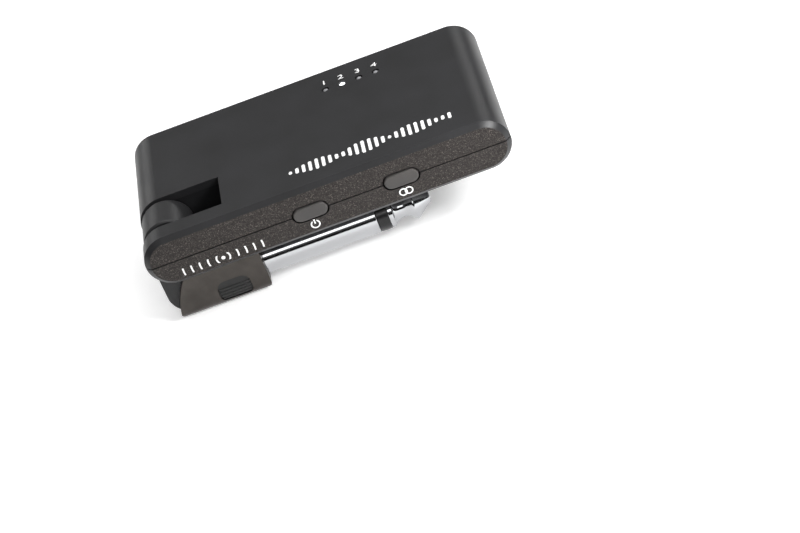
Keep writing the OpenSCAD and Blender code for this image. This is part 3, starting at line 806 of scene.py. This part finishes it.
def build_plug():
    """Jack plug: sleeve, insulating ring and tip, each turned to shape."""
    centre = (0, PLUG_Y, PLUG_Z)
    r = PLUG_R
    back = 11.4
    end = RING_X0 - FIT
    sleeve = lathe("plug_sleeve_turned",
                   [(back, 2.05), (back, 2.7), (PLUG_ROOT - 0.94, 2.7), (PLUG_ROOT - 0.94, NECK_R),
                    (PLUG_ROOT, NECK_R), (PLUG_ROOT + FIT, r)]
                   + arc(end - 0.12, r - 0.12, 0.12, 90, 0, 5) + [(end, 2.05), (back, 2.05)],
                   centre, (1, 0, 0))
    smooth(sleeve)
    dress(sleeve, "plug_arm", "plug_chrome", NICKEL, replaces=["plug_sleeve"])
    middle = (RING_X0 + RING_X1) / 2
    ring = lathe("plug_ring_turned",
                 [(RING_X0, 1.25), (RING_X0, r - 0.2), (RING_X0 + 0.1, r - 0.1), (middle, r - 0.05),
                  (RING_X1 - 0.1, r - 0.1), (RING_X1, r - 0.2), (RING_X1, 1.25), (RING_X0, 1.25)],
                 centre, (1, 0, 0))
    smooth(ring)
    dress(ring, "plug_arm", "ring_plastic", RING, replaces=["plug_ring"])
    neck = [(TIP_X0 + 0.75 + 2.1 * (1 - math.cos(math.radians(a))),
             2 + 1.05 * (1 - math.sin(math.radians(a))))
            for a in range(0, 91, 6)]
    tip = lathe("plug_tip_turned",
                [(TIP_X0, 0.0), (TIP_X0, r - 0.2)] + arc(TIP_X0 + 0.08, r - 0.2, 0.08, 180, 90, 3)
                + [(TIP_X0 + 0.7, r - 0.12)] + neck + [(TIP_X0 + 3.3, 2.15)]
                + [(TIP_X1 - 3.5, r - 0.16)] + arc(TIP_X1 - 3.12, r - 0.32, 0.32, 120, 55, 8)
                + [(TIP_X1 - 0.5, 1.2)] + arc(TIP_X1 - 0.5, 0.7, 0.5, 70, 0, 8) + [(TIP_X1, 0.0)],
                centre, (1, 0, 0))
    smooth(tip)
    dress(tip, "plug_arm", "plug_chrome", NICKEL, replaces=["plug_tip"])


# ---------------------------------------------------------------- printed marks

INK_THICK = 0.01


def build_numerals():
    """The digits 1 to 4, one behind each status light."""
    for number, (x, y) in enumerate(light_spots()):
        deselect()
        bpy.ops.object.text_add(location=at(x, y + 1.75, THICK))
        text = bpy.context.object
        text.data.body = str(number + 1)
        text.data.align_x = "CENTER"
        text.data.size = 1.9 * MM
        text.data.extrude = INK_THICK * MM
        text.data.offset = 0.01 * MM
        bpy.ops.object.convert(target="MESH")
        piece = settle(f"numeral_{number + 1}")
        edit(piece, "VERT", lambda v, m: True)
        bpy.ops.transform.resize(value=(1.2, 1, 1), center_override=at(x, y, THICK))
        done()
        dress(piece, "housing", "shell_plastic", INK)


def build_top_mark():
    """A plain sound-wave mark in place of lettering: a row of round-ended bars of changing height."""
    bars = []
    count = 25
    for i in range(count):
        t = i / (count - 1)
        x = 28.6 + 28.8 * t
        height = 0.9 + 3.1 * abs(math.sin(3.2 * math.pi * t)) * (0.55 + 0.45 * math.sin(math.pi * t))
        low, high = 6.3 - height / 2, 6.3 + height / 2
        bars.append(block("bar", (x - 0.3, low, THICK - 0.01), (x + 0.3, high, THICK + INK_THICK)))
        bevel_edges(bars[-1], 2, lambda p: True, 0.29, 5)
    dress(join("sound_wave_print", bars), "housing", "shell_plastic", INK)


def front_ring(name, x, z, outer, line):
    ring = rod(name, (x, 0.01, z), (x, -INK_THICK, z), outer, 48)
    return cut(ring, rod("hole", (x, 1, z), (x, -1, z), outer - line, 48))


def front_bar(name, x0, z0, x1, z1):
    return block(name, (x0, -INK_THICK, z0), (x1, 0.01, z1))


def print_front(name, pieces):
    """Lays printed pieces on the leaning lower half of the front."""
    mark = join(name, pieces)
    edit(mark, "VERT", lambda v, m: True)
    bpy.ops.transform.rotate(value=-DRAFT_ANGLE, orient_axis="X", center_override=at(0, 0, SEAM_Z))
    done()
    dress(mark, "housing", "shell_plastic", INK)


def build_front_marks():
    """Generic symbols under the seam: a power sign, two linked rings, and a radiating dot."""
    z = 2.15
    power = front_ring("power_ring", POWER_X, z, 0.85, 0.24)
    cut(power, block("gap", (POWER_X - 0.36, -1, z + 0.2), (POWER_X + 0.36, 1, z + 2)))
    stroke = front_bar("stroke", POWER_X - 0.12, z + 0.1, POWER_X + 0.12, z + 1.0)
    print_front("power_sign", [power, stroke])
    links = [front_ring("link", PAIR_X + side * 0.5, z, 0.75, 0.22) for side in (-1, 1)]
    print_front("pair_sign", links)
    x = 13.0
    waves = [rod("dot", (x, 0.01, z), (x, -INK_THICK, z), 0.36, 32)]
    for number in range(5):
        ring = front_ring("wave", x, z, 1.35 + 1.5 * number, 0.28)
        cut(ring, block("above", (x - 20, -1, z + 0.75), (x + 20, 1, z + 20)))
        cut(ring, block("below", (x - 20, -1, z - 20), (x + 20, 1, z - 0.75)))
        waves.append(ring)
    print_front("radio_sign", waves)


# ---------------------------------------------------------------- pieces kept from the CAD

CAD_FINISH = {
    "hinge_cradle": CRADLE, "hinge_pin": STEEL, "hinge_washers": DARK_STEEL, "main_board": BOARD,
    "battery": FOIL, "battery_pad": FOAM, "battery_leads": WIRE, "battery_connector": CREAM,
    "signal_leads": WIRE, "status_leds": RESIN, "power_switch": STEEL, "pair_switch": STEEL,
    "radio_module": STEEL, "antenna": WHITE_CERAMIC, "control_chip": EPOXY, "audio_chip": EPOXY,
    "charger_chip": EPOXY, "crystal": STEEL, "board_capacitors": CERAMIC, "plug_rod": BRASS,
    "plug_insulator": CORE, "plug_tags": BRASS, "arm_leads": WIRE,
}


def finish_cad():
    for node, material in CAD_FINISH.items():
        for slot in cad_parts[node].material_slots:
            slot.material = material


# ---------------------------------------------------------------- camera, floor and light

def build_camera():
    """A long lens from the front and above, rolled so that the housing climbs to the right."""
    azimuth, elevation, roll = math.radians(-4.396), math.radians(33.687), math.radians(-22.343)
    data = bpy.data.cameras.new("camera")
    data.lens = 105.98
    data.sensor_width = 36.0
    data.clip_start = 0.01
    camera = bpy.data.objects.new("camera", data)
    bpy.context.scene.collection.objects.link(camera)
    camera.location = at(66.3, -337.71, 213.97)
    forward = Vector((math.sin(azimuth) * math.cos(elevation), math.cos(azimuth) * math.cos(elevation),
                      -math.sin(elevation)))
    level = forward.to_track_quat("-Z", "Y")
    camera.rotation_mode = "QUATERNION"
    camera.rotation_quaternion = level @ Euler((0, 0, roll)).to_quaternion()
    bpy.context.scene.camera = camera


def softbox(name, target, azimuth, elevation, distance, size, power, tint="#ffffff"):
    data = bpy.data.lights.new(name, "AREA")
    data.shape = "RECTANGLE"
    data.size, data.size_y = size
    data.energy = power
    data.color = linear(tint)[:3]
    light = bpy.data.objects.new(name, data)
    bpy.context.scene.collection.objects.link(light)
    a, e = math.radians(azimuth), math.radians(elevation)
    toward = Vector((math.sin(a) * math.cos(e), -math.cos(a) * math.cos(e), math.sin(e)))
    light.location = target + toward * distance
    light.rotation_euler = (-toward).to_track_quat("-Z", "Y").to_euler()


def build_world():
    """Room light: bright overhead, falling to a dim band near the horizon."""
    world = bpy.data.worlds.new("studio")
    bpy.context.scene.world = world
    world.use_nodes = True
    tree = world.node_tree
    way = add(tree, "ShaderNodeTexCoord").outputs["Generated"]
    height = add(tree, "ShaderNodeSeparateXYZ", links={"Vector": way}).outputs["Z"]
    sky = ramp(tree, height, [(0.18, linear("#1c1c1c")), (0.35, linear("#8a8a8a")),
                              (0.75, linear("#f0f0f0"))])
    tree.links.new(sky, tree.nodes["Background"].inputs["Color"])
    tree.nodes["Background"].inputs["Strength"].default_value = 0.5


def build_studio():
    deselect()
    bpy.ops.mesh.primitive_plane_add(size=6, location=(0, 0, FLOOR_Z))
    floor = settle("floor")
    material, tree, shader, place = start("backlit_matt_paper_floor", Roughness=0.9,
                                          Specular_IOR_Level=0.1, Emission_Strength=0.35)
    fibre = add(tree, "ShaderNodeTexNoise", {"Scale": per_mm(3), "Detail": 3.0}, {"Vector": place})
    tone = ramp(tree, fibre.outputs["Fac"], [(0.3, linear("#f3f3f3")), (0.7, linear("#f6f6f6"))])
    tree.links.new(tone, shader.inputs["Base Color"])
    tree.links.new(tone, shader.inputs["Emission Color"])
    floor.data.materials.append(material)
    build_world()
    target = at(33, 18, 4)
    softbox("top_box", target, 165, 68, 1.1, (0.9, 0.7), 6.2)
    softbox("left_box", target, -152, 15, 0.8, (0.3, 0.12), 0.42)
    softbox("right_box", target, 156, 20, 0.8, (0.3, 0.08), 0.36)
    softbox("front_box", target, 5, 33, 0.6, (0.5, 0.2), 0.9)
    softbox("side_box", at(LENGTH + 15, 0, 5), 45, 42, 0.16, (0.08, 0.05), 0.42)
    bpy.context.scene.view_settings.view_transform = "Standard"


# ---------------------------------------------------------------- building

build_camera()
build_top_shell()
build_bottom_shell()
build_screws()
build_lights()
build_button("power_button_cap", POWER_X, "power_key", "power_button")
build_button("pair_button_cap", PAIR_X, "pair_key", "pair_button")
build_usb()
build_arm()
build_boot()
build_grip("front_grip_pad", "front_grip", False)
build_grip("rear_grip_pad", "rear_grip", True)
build_boot_screw()
build_plug()
build_numerals()
build_top_mark()
build_front_marks()
finish_cad()
build_studio()
